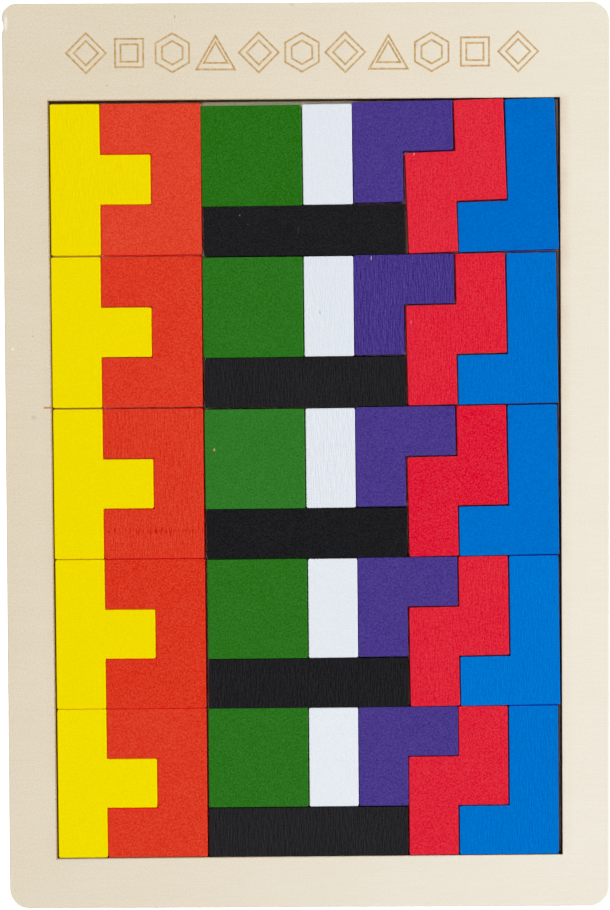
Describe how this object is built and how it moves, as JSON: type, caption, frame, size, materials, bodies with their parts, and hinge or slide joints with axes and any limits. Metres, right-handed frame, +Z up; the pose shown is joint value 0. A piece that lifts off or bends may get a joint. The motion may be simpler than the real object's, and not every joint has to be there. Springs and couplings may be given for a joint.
{
  "type": "tetromino puzzle",
  "caption": "Flat plywood tray with a framed rectangular window, packed full of painted wooden pieces cut to shapes of joined squares in bright colours.",
  "frame": {"origin": "middle of the tray's underside, on the surface it rests on", "axes": "+X to the right across the tray, +Y towards the wide title end, +Z up out of the faces of the pieces"},
  "size_m": [0.18, 0.27, 0.008],
  "materials": {
    "frame_plywood": "sanded matte",
    "base_plywood": "sanded matte",
    "yellow_paint": "matte paint",
    "orange_paint": "matte paint",
    "green_paint": "matte paint",
    "white_paint": "matte paint",
    "purple_paint": "matte paint",
    "black_paint": "matte paint",
    "red_paint": "matte paint",
    "blue_paint": "matte paint"
  },
  "bodies": {
    "root": {"tray_base": "base_plywood", "tray_frame": "frame_plywood", "yellow_tee_band1": "yellow_paint", "orange_channel_band1": "orange_paint", "green_square_band1": "green_paint", "white_domino_band1": "white_paint", "purple_corner_band1": "purple_paint", "black_bar_band1": "black_paint", "red_zigzag_band1": "red_paint", "blue_hook_band1": "blue_paint", "yellow_tee_band2": "yellow_paint", "orange_channel_band2": "orange_paint", "green_square_band2": "green_paint", "white_domino_band2": "white_paint", "purple_corner_band2": "purple_paint", "black_bar_band2": "black_paint", "red_zigzag_band2": "red_paint", "blue_hook_band2": "blue_paint", "yellow_tee_band3": "yellow_paint", "orange_channel_band3": "orange_paint", "green_square_band3": "green_paint", "white_domino_band3": "white_paint", "purple_corner_band3": "purple_paint", "black_bar_band3": "black_paint", "red_zigzag_band3": "red_paint", "blue_hook_band3": "blue_paint", "yellow_tee_band4": "yellow_paint", "orange_channel_band4": "orange_paint", "green_square_band4": "green_paint", "white_domino_band4": "white_paint", "purple_corner_band4": "purple_paint", "black_bar_band4": "black_paint", "red_zigzag_band4": "red_paint", "blue_hook_band4": "blue_paint", "yellow_tee_band5": "yellow_paint", "orange_channel_band5": "orange_paint", "green_square_band5": "green_paint", "white_domino_band5": "white_paint", "purple_corner_band5": "purple_paint", "black_bar_band5": "black_paint", "red_zigzag_band5": "red_paint", "blue_hook_band5": "blue_paint"}
  },
  "joints": []
}
